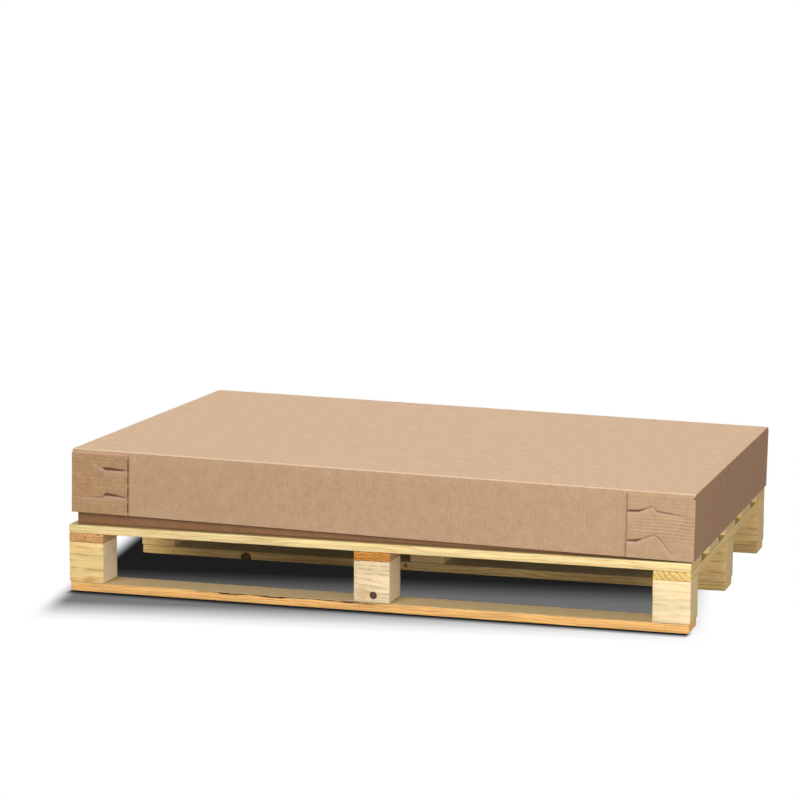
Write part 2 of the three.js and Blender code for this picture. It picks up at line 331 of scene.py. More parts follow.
def inner_bark(tree, colour, place, up, patch, top_edge, middle, reach, tint):
    """A thin ragged line of inner bark along the timber's upper edge, near one place along it."""
    split = add(tree, "ShaderNodeSeparateXYZ", {0: place})
    wave = streaks(tree, place, BARK_WAVES, 6)
    edge = add(tree, "ShaderNodeMath", {0: wave.outputs["Fac"], 1: -BARK_WAVE, 2: top_edge + BARK_START},
               operation="MULTIPLY_ADD")
    over = add(tree, "ShaderNodeMath", {0: split.outputs["Z"], 1: edge.outputs[0]}, operation="SUBTRACT")
    offset = add(tree, "ShaderNodeMath", {0: split.outputs["X"], 1: middle}, operation="SUBTRACT")
    away = add(tree, "ShaderNodeMath", {0: offset.outputs[0]}, operation="ABSOLUTE")
    line = within(tree, [
        (over.outputs[0], *BARK_BELOW),
        (over.outputs[0], *BARK_ABOVE),
        (up, 0.98, 0.7),
        (away.outputs[0], reach, reach - BARK_FADE),
    ])
    ragged = add(tree, "ShaderNodeMath", {0: line, 1: patch}, operation="MULTIPLY")
    full = add(tree, "ShaderNodeMath", {0: ragged.outputs[0], 1: 1.9}, operation="MULTIPLY", use_clamp=True)
    barked = add(tree, "ShaderNodeMix", {"Factor": full.outputs[0], "A": colour, "B": linear(tint)},
                 data_type="RGBA")
    return barked.outputs["Result"]


def sawn_pine(name, early, late, ring, sway=5.0, glints_and_bark_specks=None, knots=(), bark=None, ends=None,
              top_dust_and_shade=None, broken=0.35):
    """Rough-sawn pine: pale early wood and amber late wood, in rings round a pith that each
    timber keeps in its grain attribute, so its faces and its end grain show the same tree.
    Dull and furry to the eye, with fibres drawn a little coarser than they are."""
    material, tree, shader = new_material(name, roughness=0.75, gloss=0.3)
    grain = add(tree, "ShaderNodeAttribute", attribute_name="grain").outputs["Vector"]
    coordinates = add(tree, "ShaderNodeTexCoord")
    place = coordinates.outputs["Object"]
    facing = add(tree, "ShaderNodeSeparateXYZ", {0: coordinates.outputs["Normal"]})
    patch = streaks(tree, grain, LATE_WOOD_PATCHES, 3).outputs["Fac"]
    fibre = streaks(tree, grain, FIBRES, 2).outputs["Fac"]
    cloud = streaks(tree, grain, CLOUDS, 4).outputs["Fac"]
    wood = growth_rings(tree, grain, early, late, ring, sway, patch, broken)
    tone = add(tree, "ShaderNodeMath", {0: fibre, 1: cloud}, operation="ADD")
    light = add(tree, "ShaderNodeMapRange",
                {"Value": tone.outputs[0], "From Min": 0.7, "From Max": 1.3, "To Min": 0.8, "To Max": 1.2})
    toned = add(tree, "ShaderNodeVectorMath", {0: wood, "Scale": light.outputs[0]}, operation="SCALE")
    colour = toned.outputs[0]
    if ends:
        # Cut ends dry to a duller colour
        endwise = add(tree, "ShaderNodeMath", {0: facing.outputs["X"]}, operation="ABSOLUTE")
        share = add(tree, "ShaderNodeMapRange",
                    {"Value": endwise.outputs[0], "From Min": 0.5, "From Max": 0.9, "To Max": 0.75})
        dried = add(tree, "ShaderNodeMix", {"Factor": share.outputs[0], "A": colour, "B": linear(ends)},
                    data_type="RGBA")
        colour = dried.outputs["Result"]
    if top_dust_and_shade:
        # Upper faces take another colour: dust and weather, and on the deck also painted shade under the
        # lid's overhang
        upward = add(tree, "ShaderNodeMapRange",
                     {"Value": facing.outputs["Z"], "From Min": 0.6, "From Max": 0.95, "To Max": 0.8})
        greyed = add(tree, "ShaderNodeMix",
                     {"Factor": upward.outputs[0], "A": colour, "B": linear(top_dust_and_shade)}, data_type="RGBA")
        colour = greyed.outputs["Result"]
    # Pale specks are painted glints; dark specks are bits of bark
    if glints_and_bark_specks:
        colour = glints_and_flecks(tree, colour, place, *glints_and_bark_specks)
    for knot in knots:
        colour = round_knot(tree, colour, place, cloud, *knot)
    if bark:
        colour = inner_bark(tree, colour, place, facing.outputs["Z"], patch, *bark)
    tree.links.new(colour, shader.inputs["Base Color"])
    marks = streaks(tree, grain, SAW_MARKS, 2)
    rough = add(tree, "ShaderNodeMath", {0: marks.outputs["Fac"], 1: fibre}, operation="ADD")
    bump = add(tree, "ShaderNodeBump", {"Height": rough.outputs[0], "Strength": 0.5, "Distance": 0.4 * MM})
    tree.links.new(bump.outputs[0], shader.inputs["Normal"])
    return material


def fold_highlight_and_score_shade(tree, colour, gap, shade):
    """A painted highlight along a fold, and painted shade in the pressed score line just behind it."""
    band = add(tree, "ShaderNodeMapRange", {"Value": gap, "From Max": FOLD_BAND})
    fold_highlight = add(tree, "ShaderNodeValToRGB", {"Fac": band.outputs[0]},
                 [(0, "#000000"), (0.05, "#D0D0D0"), (0.14, "#B8B8B8"), (0.34, "#000000")])
    pale = add(tree, "ShaderNodeMix", {"Factor": fold_highlight.outputs[0], "A": colour, "B": linear("#F3DDC2")},
               data_type="RGBA")
    score_shade = add(tree, "ShaderNodeValToRGB", {"Fac": band.outputs[0]},
                 [(0.4, "#000000"), (0.52, "#808080"), (0.64, "#000000")])
    pressed = add(tree, "ShaderNodeMix",
                  {"Factor": score_shade.outputs[0], "A": pale.outputs["Result"], "B": linear(shade)},
                  data_type="RGBA")
    return pressed.outputs["Result"]


def torn_liner(tree, colour):
    """Pale raw paper where the liner is torn, and painted shade in the gaps under it, as a tab's points say.
    """
    tear = add(tree, "ShaderNodeAttribute", attribute_name="tear")
    pale = add(tree, "ShaderNodeMix", {"Factor": tear.outputs["Fac"], "A": colour, "B": linear("#E8C2B0")},
               data_type="RGBA")
    crease = add(tree, "ShaderNodeAttribute", attribute_name="crease")
    gap_shade = add(tree, "ShaderNodeMix",
               {"Factor": crease.outputs["Fac"], "A": pale.outputs["Result"], "B": linear("#54301F")},
               data_type="RGBA")
    return gap_shade.outputs["Result"]


def kraft_board(name, paper, shade, axis, tilt=0.0, flute_show=0.3, torn=False, fold=None):
    """Corrugated board in brown kraft paper: matt, with cloudy fibres, and the flutes that the
    liner shows through as faint lines. The axis is the one that runs across the flutes."""
    material, tree, shader = new_material(name, roughness=0.72, gloss=0.15)
    place = add(tree, "ShaderNodeTexCoord").outputs["Object"]
    turned = add(tree, "ShaderNodeMapping", {"Vector": place, "Rotation": (0, -tilt, 0)})
    split = add(tree, "ShaderNodeSeparateXYZ", {0: turned.outputs[0]})
    cloud = add(tree, "ShaderNodeTexNoise",
                {"Vector": place, "Scale": PAPER_CLOUDS, "Detail": 6, "Roughness": 0.85})
    fibre = add(tree, "ShaderNodeTexNoise",
                {"Vector": place, "Scale": PAPER_FIBRES, "Detail": 3, "Roughness": 0.7})
    wander = add(tree, "ShaderNodeMath", {0: cloud.outputs["Fac"], 1: FLUTE_WANDER * FLUTE_PITCH},
                 operation="MULTIPLY")
    shifted = add(tree, "ShaderNodeMath", {0: split.outputs[axis], 1: wander.outputs[0]}, operation="ADD")
    phase = add(tree, "ShaderNodeMath", {0: shifted.outputs[0], 1: 2 * math.pi / FLUTE_PITCH},
                operation="MULTIPLY")
    wave = add(tree, "ShaderNodeMath", {0: phase.outputs[0]}, operation="SINE")
    mixed = add(tree, "ShaderNodeMath", {0: cloud.outputs["Fac"], 1: fibre.outputs["Fac"]}, operation="ADD")
    ridge = add(tree, "ShaderNodeMath", {0: wave.outputs[0], 1: 0.12 * flute_show, 2: mixed.outputs[0]},
                operation="MULTIPLY_ADD")
    tone = add(tree, "ShaderNodeMapRange", {"Value": ridge.outputs[0], "From Min": 0.74, "From Max": 1.26})
    brown = add(tree, "ShaderNodeMix", {"Factor": tone.outputs[0], "A": linear(shade), "B": linear(paper)},
                data_type="RGBA")
    colour = brown.outputs["Result"]
    if fold is not None:
        # Along the front fold: a painted highlight, and painted shade in the score line behind it
        gap = add(tree, "ShaderNodeMath", {0: split.outputs["Y"], 1: fold}, operation="SUBTRACT")
        colour = fold_highlight_and_score_shade(tree, colour, gap.outputs[0], shade)
    if torn:
        colour = torn_liner(tree, colour)
    tree.links.new(colour, shader.inputs["Base Color"])
    soft = add(tree, "ShaderNodeMath", {0: wave.outputs[0], 1: flute_show, 2: fibre.outputs["Fac"]},
               operation="MULTIPLY_ADD")
    bump = add(tree, "ShaderNodeBump", {"Height": soft.outputs[0], "Strength": 0.3, "Distance": 0.2 * MM})
    tree.links.new(bump.outputs[0], shader.inputs["Normal"])
    return material


def flute_openings_shaded(tree):
    """The colour of a raw cut edge: tan paper, with painted shade in the hollow flute openings along X."""
    place = add(tree, "ShaderNodeTexCoord").outputs["Object"]
    split = add(tree, "ShaderNodeSeparateXYZ", {0: place})
    phase = add(tree, "ShaderNodeMath", {0: split.outputs["X"], 1: 2 * math.pi / FLUTE_PITCH},
                operation="MULTIPLY")
    wave = add(tree, "ShaderNodeMath", {0: phase.outputs[0]}, operation="SINE")
    colour = add(tree, "ShaderNodeValToRGB", {"Fac": wave.outputs[0]},
                 [(0, "#6E4E36"), (0.3, "#8E6A4C"), (0.6, "#C09A76"), (1, "#C9A583")])
    return colour.outputs[0]


def cut_edge(name):
    """Raw cut edge of corrugated board, dry and fibrous."""
    material, tree, shader = new_material(name, roughness=0.85, gloss=0.15)
    tree.links.new(flute_openings_shaded(tree), shader.inputs["Base Color"])
    return material


def bright_steel():
    """Bright wire nails: drawn steel with flattened, slightly scuffed heads."""
    material, tree, shader = new_material("bright drawn steel", roughness=0.45)
    shader.inputs["Metallic"].default_value = 1
    place = add(tree, "ShaderNodeTexCoord").outputs["Object"]
    scuff = add(tree, "ShaderNodeTexNoise", {"Vector": place, "Scale": 900, "Detail": 2})
    colour = add(tree, "ShaderNodeValToRGB", {"Fac": scuff.outputs["Fac"]},
                 [(0.3, "#6A655E"), (0.7, "#A8A39A")])
    tree.links.new(colour.outputs[0], shader.inputs["Base Color"])
    return material


def nothing_selected():
    if bpy.context.mode != "OBJECT":
        bpy.ops.object.mode_set(mode="OBJECT")
    bpy.ops.object.select_all(action="DESELECT")


def apply_modifiers(piece):
    for modifier in list(piece.modifiers):
        bpy.ops.object.modifier_apply(modifier=modifier.name)


def apply_place():
    """Puts the selected piece's place into its mesh and its object at the origin."""
    bpy.ops.object.transform_apply(location=True, rotation=True, scale=True)


def smooth(piece, degrees=40):
    """Smooth shading across the edges that turn less than an angle."""
    nothing_selected()
    piece.select_set(True)
    bpy.context.view_layer.objects.active = piece
    bpy.ops.object.shade_smooth_by_angle(angle=math.radians(degrees))


def new_block(name, low, high):
    """A cube primitive from one corner to the other, alone selected and at the origin."""
    nothing_selected()
    bpy.ops.mesh.primitive_cube_add(size=1, location=(low + high) / 2)
    piece = bpy.context.object
    piece.name = name
    piece.scale = high - low
    apply_place()
    return piece


def faces_facing(piece, direction):
    """Selects, in edit mode, the faces whose normal lies near a direction."""
    bpy.ops.object.mode_set(mode="EDIT")
    bpy.ops.mesh.select_mode(type="FACE")
    bpy.ops.mesh.select_all(action="DESELECT")
    shape = bmesh.from_edit_mesh(piece.data)
    for face in shape.faces:
        face.select = face.normal.dot(Vector(direction)) > FACING
    bmesh.update_edit_mesh(piece.data)


def cut_along(piece, axis, cell):
    """Divides the edges that run along one axis, so that the cells are about that long."""
    bpy.ops.object.mode_set(mode="EDIT")
    bpy.ops.mesh.select_mode(type="EDGE")
    bpy.ops.mesh.select_all(action="DESELECT")
    shape = bmesh.from_edit_mesh(piece.data)
    longest = 0
    for edge in shape.edges:
        run = edge.verts[1].co - edge.verts[0].co
        along = abs(run[axis])
        edge.select = along > 0.99 * run.length
        if edge.select:
            longest = max(longest, along)
    bmesh.update_edit_mesh(piece.data)
    cuts = max(1, round(longest / cell) - 1)
    bpy.ops.mesh.subdivide(number_cuts=cuts)
    bpy.ops.object.mode_set(mode="OBJECT")


def round_edges(piece, name, width, segments=2, angle=None):
    """A bevel on all the edges, or on those that turn more than an angle, in degrees."""
    bevel = piece.modifiers.new(name, "BEVEL")
    bevel.width = width
    bevel.segments = segments
    if angle is None:
        bevel.limit_method = "NONE"
    else:
        bevel.limit_method = "ANGLE"
        bevel.angle_limit = math.radians(angle)


def sawn_unevenness(piece):
    texture = bpy.data.textures.new(f"{piece.name} unevenness", "CLOUDS")
    texture.noise_scale = SAWN_WAVE
    shift = piece.modifiers.new("unevenness", "DISPLACE")
    shift.texture = texture
    shift.strength = SAWN_UNEVENNESS
    shift.mid_level = 0.5
    shift.texture_coords = "GLOBAL"


def set_point_values(piece, name, values, kind="FLOAT"):
    attribute = piece.data.attributes.new(name, kind, "POINT")
    if kind == "FLOAT_VECTOR":
        attribute.data.foreach_set("vector", [part for value in values for part in value])
    else:
        attribute.data.foreach_set("value", values)


def timber(node, material, along, pith):
    """One sawn timber in a CAD node's place. The pith is where the tree's middle lies in its
    section, from the timber's own middle, across and up. Its name sets its grain apart."""
    low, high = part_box(node)
    inset = Vector((1, 1, 1)) * SAWN_UNEVENNESS / 2
    piece = new_block(f"{node}_sawn", low + inset, high - inset)
    for axis in range(3):
        cut_along(piece, axis, LONG_CELL if axis == along else CROSS_CELL)
    round_edges(piece, "arris", ARRIS, angle=30)
    sawn_unevenness(piece)
    apply_modifiers(piece)
    middle = (low + high) / 2
    across = 1 - along
    start = sum(ord(letter) for letter in node) * GRAIN_STEP
    grain = []
    for vertex in piece.data.vertices:
        place = vertex.co - middle
        grain.append((place[along] + start, place[across] - pith[0], place[2] - pith[1]))
    set_point_values(piece, "grain", grain, "FLOAT_VECTOR")
    piece.data.materials.append(material)
    smooth(piece)
    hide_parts(node)
    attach(piece, "base")


def build_pallet():
    # The deck's darker top is dust and painted shade from the lid's overhang
    deck = sawn_pine("sawn pine deck", "#FFEBB0", "#F5CA80", ring=6 * MM, glints_and_bark_specks=(7 * MM, 0.16, "#FFF8E0"),
                     ends="#CDAE7C", top_dust_and_shade="#8C7352")
    front_skid = sawn_pine("resinous sawn pine, bark on edge", "#FFCC84", "#E9A351", ring=5 * MM,
                           glints_and_bark_specks=(12 * MM, 0.1, "#7A4B22"), top_dust_and_shade="#D9CCA6",
                           bark=(SKID_THICKNESS, -0.16, 0.21, "#4A3024"))
    skid = sawn_pine("resinous sawn pine", "#F2CF8C", "#D3A55C", ring=6 * MM,
                     glints_and_bark_specks=(12 * MM, 0.1, "#7A4B22"), knots=SKID_KNOTS, top_dust_and_shade="#D9CCA6")
    stringer = {
        "left": sawn_pine("sawn pine, brown rings", "#ECB878", "#A0683A", ring=6 * MM, sway=5,
                          ends="#C0A078", broken=0.6),
        "middle": sawn_pine("sawn pine, orange heart", "#DC9A48", "#9C5620", ring=5 * MM, sway=8,
                            ends="#B89A70", broken=0.4),
        "right": sawn_pine("sawn pine, wide rings", "#FBDD90", "#D89A44", ring=9 * MM, sway=1.2,
                           ends="#DDBE84"),
    }
    block = {
        "left": sawn_pine("block pine, amber grain", "#FDE0A0", "#E6B05C", ring=11 * MM, sway=2.8,
                          glints_and_bark_specks=(5 * MM, 0.2, "#FFFBEA"), ends="#EFE0C6", broken=0.75),
        "middle": sawn_pine("block pine, cream", "#FFEAC4", "#E2BC84", ring=6.5 * MM, sway=3.2,
                            glints_and_bark_specks=(6 * MM, 0.17, "#FFFFF2"), knots=BLOCK_KNOTS, ends="#D6C29C",
                            broken=0.9),
        "right": sawn_pine("block pine, pale yellow", "#FFEABE", "#F2D6A2", ring=10 * MM, sway=2.8,
                           glints_and_bark_specks=(7 * MM, 0.16, "#FFFAEC"), ends="#DDBE84", broken=0.85),
        "honey": sawn_pine("block pine, honey", "#FFDA96", "#E4B46A", ring=11 * MM, sway=2.2,
                           glints_and_bark_specks=(12 * MM, 0.12, "#FFE9BE"), ends="#D2BB90", broken=0.7),
    }
    along_x, along_y = 0, 1
    chance = random.Random(7)
    for number in range(1, DECK_BOARDS + 1):
        pith = (chance.uniform(-0.03, 0.03), -chance.uniform(0.05, 0.09))
        timber(f"deck_board_{number}", deck, along_x, pith)
    stringer_pith = {"left": (0.05, -0.06), "middle": (-0.01, -0.03), "right": (0.09, 0.09)}
    for column in COLUMNS:
        timber(f"stringer_{column}", stringer[column], along_y, stringer_pith[column])
    for row in ROWS:
        board = front_skid if row == "front" else skid
        timber(f"skid_{row}", board, along_x, (chance.uniform(-0.02, 0.02), 0.06))
        for column in COLUMNS:
            pith = (0.05 + chance.uniform(0, 0.03), -0.08 - chance.uniform(0, 0.03))
            look = block[column if row == "front" else "honey"]
            timber(f"block_{row}_{column}", look, along_x, pith)


def new_nail():
    """One wire nail, point down, the outer face of its flat round head at the origin. Only its
    head shows, so the shank is as long as the shortest one needs."""
    nothing_selected()
    bpy.ops.mesh.primitive_cylinder_add(vertices=16, radius=NAIL_HEAD, depth=NAIL_HEAD_THICKNESS,
                                        location=(0, 0, -NAIL_HEAD_THICKNESS / 2))
    nail = bpy.context.object
    apply_place()
    faces_facing(nail, (0, 0, -1))
    bpy.ops.mesh.inset(thickness=NAIL_HEAD - NAIL_SHANK)
    bpy.ops.mesh.extrude_region_move(TRANSFORM_OT_translate={"value": (0, 0, -NAIL_LENGTH)})
    bpy.ops.mesh.extrude_region_move(TRANSFORM_OT_translate={"value": (0, 0, -NAIL_POINT)})
    bpy.ops.mesh.merge(type="CENTER")
    bpy.ops.object.mode_set(mode="OBJECT")
    round_edges(nail, "rolled rim", NAIL_RIM, angle=60)
    apply_modifiers(nail)
    return nail


def drive_nails(name, places, way):
    """Copies of the nail as one piece, a place being the middle of the head's outer face. The
    point goes up or down."""
    first = new_nail()
    if way > 0:
        first.data.transform(Matrix.Rotation(math.pi, 4, "X"))
    copies = []
    for place in places:
        copy = bpy.data.objects.new(name, first.data.copy())
        copy.data.transform(Matrix.Translation(place))
        bpy.context.scene.collection.objects.link(copy)
        copies.append(copy)
    bpy.data.objects.remove(first)
    nothing_selected()
    for copy in copies:
        copy.select_set(True)
    bpy.context.view_layer.objects.active = copies[0]
    bpy.ops.object.join()
    piece = bpy.context.object
    piece.name = name
    piece.data.materials.append(bright_steel())
    smooth(piece, degrees=35)
    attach(piece, "base")


def build_nails():
    """Two nails at each crossing of a deck board and a stringer, and three up through each
    skid into a block."""
    chance = random.Random(11)

    def near(middle, aside):
        return middle + aside + chance.uniform(-NAIL_SCATTER, NAIL_SCATTER) * MM

    deck_places, skid_places = [], []
    for column in COLUMNS:
        low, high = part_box(f"stringer_{column}")
        x = (low.x + high.x) / 2
        for number in range(1, DECK_BOARDS + 1):
            board_low, board_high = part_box(f"deck_board_{number}")
            y = (board_low.y + board_high.y) / 2
            aside_x, aside_y = DECK_NAIL_ASIDE
            for turn in (-1, 1):
                place = (near(x, turn * aside_x), near(y, turn * aside_y), board_high.z - NAIL_SINK)
                deck_places.append(place)
        for row in ROWS:
            low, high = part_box(f"block_{row}_{column}")
            x, y = (low.x + high.x) / 2, (low.y + high.y) / 2
            for aside_x, aside_y in SKID_NAILS:
                skid_places.append((near(x, aside_x * MM), near(y, aside_y * MM), NAIL_SINK))
    drive_nails("deck_nails", deck_places, -1)
    drive_nails("skid_nails", skid_places, 1)


def folded_shell(name, length, width, depth, board):
    """An open box folded from one sheet, its panel at the top and its mouth down, with the
    panel's outer face in the plane z = 0. The walls get their thickness inwards."""
    piece = new_block(name, Vector((-length / 2, -width / 2, -depth)), Vector((length / 2, width / 2, 0)))
    faces_facing(piece, (0, 0, -1))
    bpy.ops.mesh.delete(type="FACE")
    bpy.ops.object.mode_set(mode="OBJECT")
    round_edges(piece, "folds", FOLD_RADIUS, segments=3, angle=30)
    apply_modifiers(piece)
    for axis in range(3):
        cut_along(piece, axis, BOARD_CELL)
    wall = piece.modifiers.new("board", "SOLIDIFY")
    wall.thickness = board
    wall.offset = -1
    apply_modifiers(piece)
    return piece


def paint_card(piece, lengthwise, shaded_sidewise, edge):
    """Flutes run on over a fold, so the panel, front and back read X, and the side walls Z. The
    cut edge is at the mouth, which still points down."""
    for material in (lengthwise, shaded_sidewise, edge):
        piece.data.materials.append(material)
    mouth = min(vertex.co.z for vertex in piece.data.vertices)
    for face in piece.data.polygons:
        if face.normal.z < -FACING and face.center.z < mouth + 0.5 * MM:
            face.material_index = 2
        elif abs(face.normal.x) > FACING:
            face.material_index = 1


def at_crease(crease, inward, height):
    """Height above a crease and the crease's width there, or None beyond its ends."""
    for (u0, v0, w0), (u1, v1, w1) in zip(crease, crease[1:]):
        if u0 <= inward <= u1:
            share = (inward - u0) / (u1 - u0)
            return height - (v0 + share * (v1 - v0)), w0 + share * (w1 - w0)
    return None


def creased(creases, inward, height):
    """How far the creases lift a point of a tab's face, how much painted shade they put there and how torn.
    """
    lift, gap_shade, torn = 0.0, 0.0, 0.0
    for crease in creases:
        found = at_crease(crease, inward, height)
        if found is None:
            continue
        gap, wide = found
        if -TORN_HEIGHT < gap <= 0:
            lift += TORN_RISE * wide * math.exp(gap / TORN_RISE_FADE)
            torn = max(torn, min(TORN_PALE_MOST, TORN_PALE * wide) * math.exp(gap / TORN_PALE_FADE))
        if 0 <= gap < SUNK_WIDTHS * wide:
            lift -= SUNK_DEPTH * wide * math.exp(-gap / wide)
        off = (gap - GAP_SHADE * wide) / wide
        gap_shade = max(gap_shade, min(1, GAP_SHADE * wide) * math.exp(-off ** 2))
    return lift, gap_shade, torn


def crushed_flutes(side, inward, height):
    """The flutes that show through a tab as level ridges, plainest across the right one."""
    swell = 0
    if side > 0 and RIDGES_FROM < height < RIDGES_FROM + RIDGES_HIGH:
        swell = math.sin(math.pi * (height - RIDGES_FROM) / RIDGES_HIGH)
    ridge = RIDGE_LEAST + RIDGE_MORE * swell * min(1, 0.3 + inward / 70)
    return ridge * math.sin(RIDGE_RUN * height + 0.02 * inward + 0.7 * math.sin(0.06 * inward))


def frayed(inward, below_top, height):
    """How torn the left tab is along its top and its free edge, uneven along both."""
    along_top = 0.7 + 0.3 * math.sin(inward * 0.9) * math.sin(inward * 0.23)
    along_side = max(0, math.sin(height * 0.17 + 1) * math.sin(height * 0.41))
    top = math.exp(-below_top / FRAY_TOP_FADE) * along_top
    free_edge = math.exp(-inward / FRAY_SIDE_FADE) * along_side
    return 0.9 * top + 0.8 * free_edge


def corner_tab(name, side, front, creases, material):
    """A glued tab on the front or back wall, in the lid's own frame before it is tilted. Its
    outer face is cut fine enough for the torn liner to stand up along the creases."""
    width = LEFT_TAB_WIDTH if side < 0 else RIGHT_TAB_WIDTH
    outer = side * LID_LENGTH / 2
    inner = side * (LID_LENGTH / 2 - width)
    face = front * (LID_WIDTH / 2 - TAB_RELIEF)
    back = front * (LID_WIDTH / 2 - LID_BOARD)
    low = Vector((min(outer, inner), min(face, back), -LID_SKIRT))
    high = Vector((max(outer, inner), max(face, back), -LID_TAB_DROP))
    piece = new_block(name, low, high)
    round_edges(piece, "crushed edge", CRUSHED_EDGE)
    apply_modifiers(piece)
    cut_along(piece, 0, TAB_CELL)
    cut_along(piece, 2, TAB_CELL)
    gap_shade_values, torn_values = [], []
    chance = random.Random(side * 3 + front)
    tab_top = (LID_SKIRT - LID_TAB_DROP) / MM
    for vertex in piece.data.vertices:
        inward = abs(vertex.co.x - inner) / MM
        height = (vertex.co.z + LID_SKIRT) / MM
        lift, gap_shade, torn = 0.0, 0.0, 0.0
        if abs(vertex.co.y - face) < 0.1 * MM:
            lift, gap_shade, torn = creased(creases, inward, height)
            lift += crushed_flutes(side, inward, height)
            lift += chance.uniform(-LINER_UNEVENNESS, LINER_UNEVENNESS)
        if front < 0 and side < 0:
            torn = min(1, torn + frayed(inward, tab_top - height, height))
        # Painted shade in the gap along the tab's free edge, less where it is torn
        if front < 0 and inward < FREE_EDGE_SHADE_WIDTH:
            gap_shade = max(gap_shade, (0.8 if side < 0 else 0.45) * (1 - torn))
        # A square of painted shade where the right tab's top corner is notched
        in_shaded_notch = inward > width / MM - CORNER_NOTCH_SHADE and height > tab_top - CORNER_NOTCH_SHADE
        if front < 0 < side and in_shaded_notch:
            gap_shade = 1
        vertex.co.y += front * max(-TAB_DENT, min(lift * MM, TAB_RELIEF))
        gap_shade_values.append(gap_shade)
        torn_values.append(torn)
    set_point_values(piece, "crease", gap_shade_values)
    set_point_values(piece, "tear", torn_values)
    piece.data.materials.append(material)
    return piece


def build_lid():
    mount = next(m for m in frame["record"]["mounts"] if m["name"] == "lid_top")
    top = Vector(mount["pos_m"])
    tilt = math.atan2(mount["axis"][0], mount["axis"][2])
    stand = Matrix.Translation(top) @ Matrix.Rotation(tilt, 4, "Y")
    front_fold = top.y - LID_WIDTH / 2 + LID_BOARD
    lengthwise = kraft_board("kraft liner, flutes across", "#D3B495", "#BE9A7B", "X", tilt, 0.25,
                             fold=front_fold)
    # The side walls' card is darker than the panel's: painted shade, as on the right wall away from the key
    # light
    shaded_sidewise = kraft_board("kraft liner, flutes level, painted shade", "#B08B6E", "#9A7557", "Z", tilt, 0.5)
    edge = cut_edge("cut board edge")
    shell = folded_shell("lid_board", LID_LENGTH, LID_WIDTH - 2 * LID_BOARD, LID_SKIRT, LID_BOARD)
    paint_card(shell, lengthwise, shaded_sidewise, edge)
    # The right tab's card is paler than the left's: painted light, as the front is lit more brightly towards
    # the right
    left_card = kraft_board("kraft liner, torn tabs", "#D0AB86", "#AE8763", "Z", tilt, 0.3, torn=True)
    paler_lit_right_card = kraft_board("kraft liner, crushed tabs", "#D6B596", "#B99874", "Z", tilt, 0.3, torn=True)
    pieces = [shell]
    for side, label, card, front_creases in ((-1, "left", left_card, LEFT_CREASES),
                                             (1, "right", paler_lit_right_card, RIGHT_CREASES)):
        for front, place, creases in ((-1, "front", front_creases), (1, "back", [])):
            pieces.append(corner_tab(f"lid_tab_{place}_{label}", side, front, creases, card))
    for piece in pieces:
        piece.data.transform(stand)
        smooth(piece)
        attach(piece, "lid")
    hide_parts("lid")


def tray_tab(name, low, high, side, front, material):
    """A tray wall's end, folded round the corner and glued inside the front or back wall."""
    end = (high if side > 0 else low).x - side * TRAY_BOARD
    free = end - side * TRAY_TAB_WIDTH
    outer = (high if front > 0 else low).y - front * (TRAY_BOARD + TRAY_TAB_GAP)
    inner = outer - front * TRAY_TAB_BOARD
    piece = new_block(name,
                      Vector((min(end, free), min(outer, inner), low.z + TRAY_TAB_FOOT)),
                      Vector((max(end, free), max(outer, inner), high.z - TRAY_TAB_BELOW_RIM)))
    round_edges(piece, "crushed edge", CRUSHED_EDGE)
    apply_modifiers(piece)
    piece.data.materials.append(material)
    return piece


def build_tray():
    low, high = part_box("tray")
    size = high - low
    # The tray's card is darker than the lid's: painted shade, as under the lid's overhang
    lengthwise = kraft_board("tray kraft, flutes across", "#A27D5C", "#896446", "X")
    shaded_sidewise = kraft_board("tray kraft, flutes level", "#9E7959", "#856144", "Z")
    edge = cut_edge("tray cut edge")
    shell = folded_shell("tray_board", size.x, size.y, size.z, TRAY_BOARD)
    paint_card(shell, lengthwise, shaded_sidewise, edge)
    middle = (low + high) / 2
    mouth_up = Matrix.Translation((middle.x, middle.y, low.z)) @ Matrix.Rotation(math.pi, 4, "X")
    shell.data.transform(mouth_up)
    pieces = [shell]
    for side, label in ((-1, "left"), (1, "right")):
        for front, place in ((-1, "front"), (1, "back")):
            pieces.append(tray_tab(f"tray_tab_{place}_{label}", low, high, side, front, shaded_sidewise))
    for piece in pieces:
        smooth(piece)
        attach(piece, "base")
    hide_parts("tray")


def build_sleeve():
    """The CAD's own sleeve, in kraft board. Its front and back ends are raw cut edges."""
    sleeve = frame["nodes"]["sleeve"]
    board = kraft_board("sleeve kraft", "#C39A76", "#AC815D", "X")
    tree = board.node_tree
    colour = tree.nodes["Principled BSDF"].inputs["Base Color"]
    paper = colour.links[0].from_socket
    facing = add(tree, "ShaderNodeTexCoord").outputs["Normal"]
    split = add(tree, "ShaderNodeSeparateXYZ", {0: facing})
    endwise = add(tree, "ShaderNodeMath", {0: split.outputs["Y"]}, operation="ABSOLUTE")
    cut = add(tree, "ShaderNodeMapRange", {"Value": endwise.outputs[0], "From Min": 0.6, "From Max": 0.8})
    mixed = add(tree, "ShaderNodeMix", {"Factor": cut.outputs[0], "A": paper, "B": flute_openings_shaded(tree)},
                data_type="RGBA")
    tree.links.new(mixed.outputs["Result"], colour)
    sleeve.data.materials.clear()
    sleeve.data.materials.append(board)


def seen_directly(tree):
    """1 for what the camera sees, also in a polished face or through glass, and 0 for light."""
    path = add(tree, "ShaderNodeLightPath")
    first = add(tree, "ShaderNodeMath", {0: path.outputs["Is Camera Ray"], 1: path.outputs["Is Glossy Ray"]},
                operation="MAXIMUM")
    seen = add(tree, "ShaderNodeMath", {0: first.outputs[0], 1: path.outputs["Is Transmission Ray"]},
               operation="MAXIMUM")
    return seen.outputs[0]


